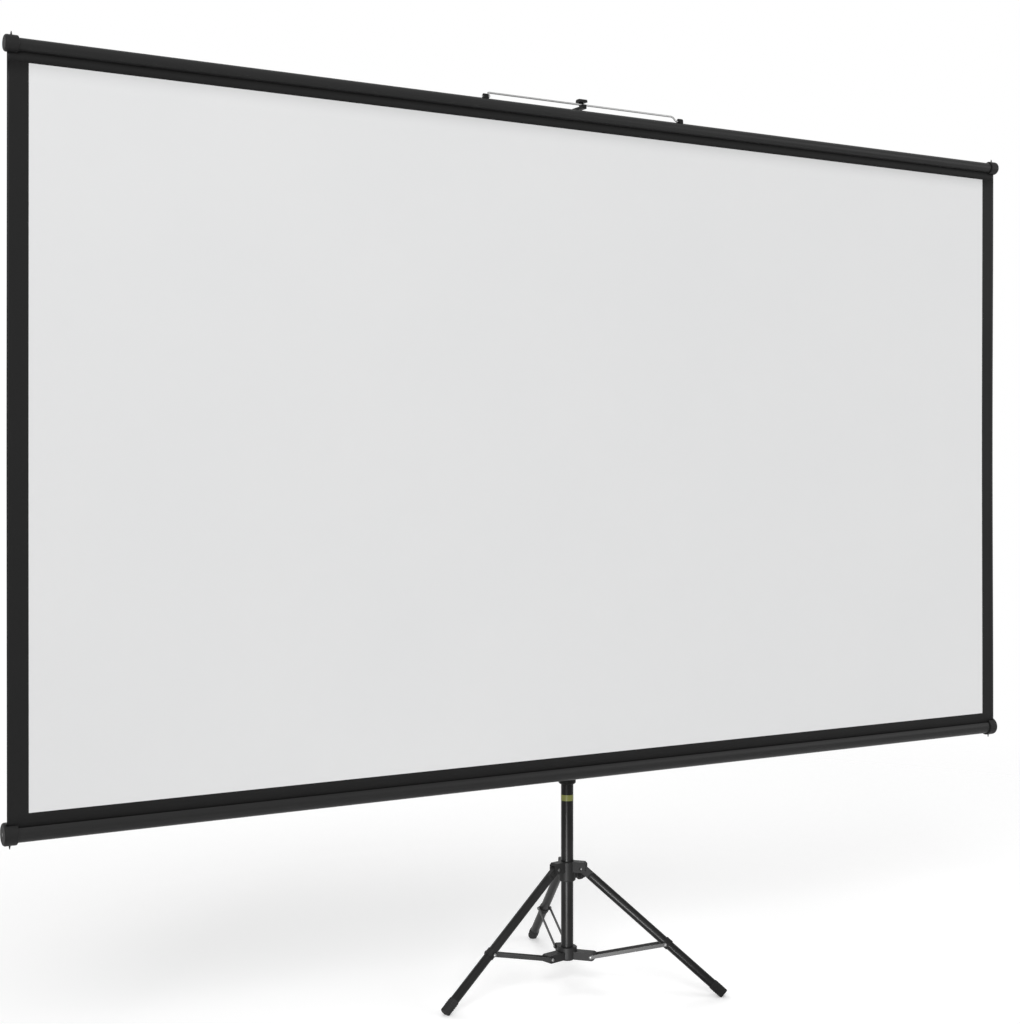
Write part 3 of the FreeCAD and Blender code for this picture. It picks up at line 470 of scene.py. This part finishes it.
# The turns of cloth still on the roller.
def make_fabric_winding():
    shape = bmesh.new()
    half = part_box("fabric_roll")[1][0]
    ends = ([], [])
    for step in range(ROLL_SEGMENTS + 1):
        share = step / ROLL_SEGMENTS
        angle = 2.0 * math.pi * ROLL_TURNS * share
        radius = ROLL_INNER + (ROLL_OUTER - ROLL_INNER) * share
        for side, place in zip(ends, (-half, half)):
            y = ROLL_AXIS_Y - radius * math.cos(angle)
            z = ROLL_AXIS_Z + radius * math.sin(angle)
            side.append(shape.verts.new((place, y, z)))
    for step in range(ROLL_SEGMENTS):
        face = shape.faces.new((ends[0][step], ends[1][step], ends[1][step + 1], ends[0][step + 1]))
        face.smooth = True
    piece = show_shape("fabric_winding", shape)
    dress(piece, white_face, black_backing)
    return thickened(piece, ROLL_THICKNESS, WINDING_BACK_STEP)


# Node trees for what repeats. Each takes points that carry the way they face.
def new_tree(name, sizes):
    tree = bpy.data.node_groups.new(name, "GeometryNodeTree")
    tree.interface.new_socket("Geometry", in_out="INPUT", socket_type="NodeSocketGeometry")
    for size in sizes:
        tree.interface.new_socket(size, in_out="INPUT", socket_type="NodeSocketFloat")
    tree.interface.new_socket("Finish", in_out="INPUT", socket_type="NodeSocketMaterial")
    tree.interface.new_socket("Geometry", in_out="OUTPUT", socket_type="NodeSocketGeometry")
    source = tree.nodes.new("NodeGroupInput")
    return tree, source


# Sets one copy of a shape on every point, turned to the way it faces, and gives it its finish.
def set_on_points(tree, source, shape):
    way = add(tree, "GeometryNodeInputNamedAttribute", [("Name", "way")], data_type="FLOAT_VECTOR")
    turned = add(tree, "FunctionNodeAlignEulerToVector", [("Vector", way.outputs[0])], axis="Z")
    placed = add(
        tree,
        "GeometryNodeInstanceOnPoints",
        [
            ("Points", source.outputs["Geometry"]),
            ("Instance", shape),
            ("Rotation", turned.outputs["Rotation"]),
        ],
    )
    solid = add(tree, "GeometryNodeRealizeInstances", [("Geometry", placed.outputs["Instances"])])
    coated = add(
        tree,
        "GeometryNodeSetMaterial",
        [("Geometry", solid.outputs["Geometry"]), ("Material", source.outputs["Finish"])],
    )
    out = tree.nodes.new("NodeGroupOutput")
    tree.links.new(coated.outputs["Geometry"], out.inputs["Geometry"])
    return tree


def rivet_dome_tree():
    tree, source = new_tree("rivet_dome", ("Radius", "Rise"))
    ball = add(
        tree,
        "GeometryNodeMeshUVSphere",
        [("Segments", DOME_SEGMENTS), ("Rings", DOME_RINGS), ("Radius", 1.0)],
    )
    size = add(
        tree,
        "ShaderNodeCombineXYZ",
        [("X", source.outputs["Radius"]), ("Y", source.outputs["Radius"]), ("Z", source.outputs["Rise"])],
    )
    dome = add(
        tree, "GeometryNodeTransform", [("Geometry", ball.outputs["Mesh"]), ("Scale", size.outputs["Vector"])]
    )
    soft = add(tree, "GeometryNodeSetShadeSmooth", [("Geometry", dome.outputs["Geometry"])])
    return set_on_points(tree, source, soft.outputs["Geometry"])


def grip_rib_tree():
    tree, source = new_tree("grip_rib", ("Radius", "Length"))
    bar = add(
        tree,
        "GeometryNodeMeshCylinder",
        [
            ("Vertices", KNOB_RIB_SIDES),
            ("Radius", source.outputs["Radius"]),
            ("Depth", source.outputs["Length"]),
        ],
    )
    return set_on_points(tree, source, bar.outputs["Mesh"])


def circle(tree, segments, radius):
    path = add(tree, "GeometryNodeCurvePrimitiveCircle", [("Resolution", segments), ("Radius", radius)])
    return path.outputs["Curve"]


def foot_ring_tree():
    tree, source = new_tree("foot_ring", ("Radius", "Bead"))
    path = circle(tree, FOOT_RING_SEGMENTS, source.outputs["Radius"])
    bead = circle(tree, FOOT_BEAD_SEGMENTS, source.outputs["Bead"])
    ring = add(tree, "GeometryNodeCurveToMesh", [("Curve", path), ("Profile Curve", bead)])
    soft = add(tree, "GeometryNodeSetShadeSmooth", [("Geometry", ring.outputs["Mesh"])])
    return set_on_points(tree, source, soft.outputs["Geometry"])


def grown(name, tree, points, finish, **sizes):
    mesh = bpy.data.meshes.new(name)
    mesh.from_pydata([place for place, way in points], [], [])
    facing = mesh.attributes.new("way", "FLOAT_VECTOR", "POINT")
    for index, (place, way) in enumerate(points):
        facing.data[index].vector = way
    piece = show(name, mesh)
    nodes = piece.modifiers.new("grown", "NODES")
    nodes.node_group = tree
    sizes["Finish"] = finish
    for socket in tree.interface.items_tree:
        if socket.in_out == "INPUT" and socket.name in sizes:
            nodes[socket.identifier] = sizes[socket.name]
    return settled(piece)


def flat_way(degrees):
    turn = math.radians(degrees)
    return Vector((math.cos(turn), math.sin(turn), 0.0))


def leg_ways(index):
    outward = flat_way(LEG_AZIMUTH + 360.0 / LEG_COUNT * index)
    return outward, UP.cross(outward)


# A point on each of the two outer faces of a pin that lies along side.
def pin_faces(centre, side, reach):
    return [(centre + side * reach, side), (centre - side * reach, -side)]


rivet_dome = rivet_dome_tree()
grip_rib = grip_rib_tree()
foot_ring = foot_ring_tree()
slope = math.radians(LEG_ANGLE)
leg_reach = (LEG_PIVOT_HEIGHT - FOOT_RADIUS * math.sin(slope) + FOOT_FLAT) / math.cos(slope)
collar_faces = []
hub_faces = []
for index in range(LEG_COUNT):
    outward, side = leg_ways(index)
    number = index + 1
    down = outward * math.sin(slope) - UP * math.cos(slope)
    leg_pivot = MAST + outward * LEG_PIVOT_RADIUS + UP * LEG_PIVOT_HEIGHT
    hub_pivot = MAST + outward * HUB_PIVOT_RADIUS + UP * HUB_PIVOT_HEIGHT
    clip = leg_pivot + down * CLIP_POSITION
    collar_faces += pin_faces(leg_pivot, side, FORK_HEAD_OUT)
    hub_faces += pin_faces(hub_pivot, side, HUB_HEAD_OUT)
    domes = grown(
        "strut_rivet_domes_%d" % number,
        rivet_dome,
        pin_faces(clip, side, STRIP_HEAD_OUT),
        rivet_steel,
        Radius=DOME_RADIUS,
        Rise=DOME_RISE,
    )
    put(domes, "strut_%d" % number)
    foot_end = leg_pivot + down * leg_reach
    rings = grown(
        "foot_rings_%d" % number,
        foot_ring,
        [(foot_end - down * place, down) for place in FOOT_RING_PLACES],
        foot_rubber,
        Radius=FOOT_RADIUS,
        Bead=FOOT_RING_BEAD,
    )
    put(rings, "leg_%d" % number)
for name, faces, body, finish in (
    ("leg_pin_domes", collar_faces, "leg_collar", dark_steel),
    ("hub_pin_domes", hub_faces, "base", rivet_steel),
):
    domes = grown(name, rivet_dome, faces, finish, Radius=DOME_RADIUS, Rise=DOME_RISE)
    put(domes, body)

for name, height, azimuth in (
    ("collar_knob", COLLAR_KNOB_HEIGHT, COLLAR_KNOB_AZIMUTH),
    ("height_knob", HEIGHT_KNOB_HEIGHT, CLAMP_KNOB_AZIMUTH),
    ("extension_knob", EXTENSION_KNOB_HEIGHT, CLAMP_KNOB_AZIMUTH),
):
    way = flat_way(azimuth)
    middle = MAST + UP * height + way * (KNOB_START + KNOB_LENGTH / 2.0)
    side = UP.cross(way)
    places = []
    for lobe in range(KNOB_LOBES):
        for turn in KNOB_RIB_TURNS:
            angle = math.radians(360.0 / KNOB_LOBES * (lobe + 0.5) + turn)
            rim = side * (KNOB_RADIUS * math.cos(angle)) + UP * (KNOB_RADIUS * math.sin(angle))
            places.append((middle + rim, way))
    ribs = grown(
        name + "_ribs", grip_rib, places, moulded_black, Radius=KNOB_RIB_RADIUS, Length=KNOB_RIB_LENGTH
    )
    put(ribs, name)
    boss = grown(
        name + "_boss",
        rivet_dome,
        [(middle + way * (KNOB_LENGTH / 2.0), way)],
        moulded_black,
        Radius=KNOB_BOSS_RADIUS,
        Rise=KNOB_BOSS_RISE,
    )
    put(boss, name)


screen_sheet = make_cloth("screen_sheet", [SHEET_FOOT] + even_steps(VIEW_FOOT, VIEW_TOP, SHEET_ROWS))
put(screen_sheet, "screen_case")
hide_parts("screen_fabric")
fabric_winding = make_fabric_winding()
put(fabric_winding, "roller")
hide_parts("fabric_roll")
# The black band below the bar goes down whole with the bar.
top_edge = make_cloth("screen_top_edge", [VIEW_TOP, SHEET_TOP])
put(top_edge, "top_bar")
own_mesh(screen_sheet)


# Floor, light and camera.
# One where the eye, a mirror or a clear pane looks straight at the backdrop.
def seen_share(tree):
    ray = add(tree, "ShaderNodeLightPath")
    seen = ray.outputs["Is Camera Ray"]
    for kind in ("Is Glossy Ray", "Is Transmission Ray"):
        seen = worked_out(tree, "MAXIMUM", seen, ray.outputs[kind])
    return seen


# A white floor that fades out into the backdrop.
def make_floor():
    shape = bmesh.new()
    bmesh.ops.create_circle(shape, cap_ends=True, radius=FLOOR_RADIUS, segments=FLOOR_SEGMENTS)
    floor = show_shape("floor", shape)
    material, tree, shader = blank_material("pale_floor")
    shader.inputs["Base Color"].default_value = FLOOR_COLOUR
    shader.inputs["Roughness"].default_value = FLOOR_ROUGHNESS
    shader.inputs["Specular IOR Level"].default_value = FLOOR_MIRROR
    lift = worked_out(tree, "MULTIPLY", seen_share(tree), FLOOR_LIFT)
    glow = add(tree, "ShaderNodeEmission", [("Strength", lift)])
    paper = add(tree, "ShaderNodeAddShader", [(0, shader.outputs["BSDF"]), (1, glow.outputs["Emission"])])
    clear = add(tree, "ShaderNodeBsdfTransparent")
    place = add(tree, "ShaderNodeTexCoord")
    reach = add(tree, "ShaderNodeVectorMath", [(0, place.outputs["Object"])], operation="LENGTH")
    fade = span(tree, reach.outputs["Value"], 0.0, 1.0, *FLOOR_FADE)
    mix = add(
        tree,
        "ShaderNodeMixShader",
        [(0, fade), (1, paper.outputs["Shader"]), (2, clear.outputs["BSDF"])],
    )
    tree.links.new(mix.outputs["Shader"], tree.nodes["Material Output"].inputs["Surface"])
    dress(floor, material)


# A soft sky for light, and a plain white one where it is looked at.
def make_sky():
    world = bpy.data.worlds.new("studio")
    bpy.context.scene.world = world
    world.use_nodes = True
    tree = world.node_tree
    tree.nodes.clear()
    soft = add(tree, "ShaderNodeBackground", [("Color", SKY_COLOUR), ("Strength", SKY_LIGHT)])
    white = add(tree, "ShaderNodeBackground", [("Color", SKY_COLOUR), ("Strength", SKY_SEEN)])
    mix = add(
        tree,
        "ShaderNodeMixShader",
        [(0, seen_share(tree)), (1, soft.outputs[0]), (2, white.outputs[0])],
    )
    out = add(tree, "ShaderNodeOutputWorld")
    tree.links.new(mix.outputs["Shader"], out.inputs["Surface"])


def make_lamp(name, place, target, power, size, spread=180.0):
    lamp = bpy.data.lights.new(name, "AREA")
    lamp.energy = power
    lamp.shape = "RECTANGLE"
    lamp.size = size[0]
    lamp.size_y = size[1]
    lamp.spread = math.radians(spread)
    stand = bpy.data.objects.new(name, lamp)
    bpy.context.scene.collection.objects.link(stand)
    stand.visible_camera = False
    stand.location = place
    stand.rotation_euler = (Vector(target) - Vector(place)).to_track_quat("-Z", "Y").to_euler()


def make_camera():
    lens = bpy.data.cameras.new("camera")
    lens.lens = CAMERA_LENS
    lens.shift_y = CAMERA_SHIFT
    camera = bpy.data.objects.new("camera", lens)
    bpy.context.scene.collection.objects.link(camera)
    camera.location = CAMERA_PLACE
    camera.rotation_euler = [math.radians(turn) for turn in CAMERA_TURN]
    bpy.context.scene.camera = camera


make_floor()
make_sky()
make_lamp(
    "floor_strip", place=(-1.04, -1.11, 0.08), target=(0.0, -0.03, 0.09), power=1.0, size=(0.10, 0.14),
    spread=23.0,
)
make_lamp("key_lamp", place=(-2.6, -3.6, 3.6), target=(0.0, 0.0, 0.9), power=90.0, size=(2.4, 2.4))
make_lamp("fill_lamp", place=(3.4, -3.0, 2.0), target=(0.0, 0.0, 0.7), power=40.0, size=(2.4, 2.4))
make_lamp("back_lamp", place=(0.8, 3.2, 2.8), target=(0.0, 0.0, 0.8), power=40.0, size=(2.4, 1.6))
make_camera()

scene = bpy.context.scene
scene.view_settings.view_transform = "Standard"
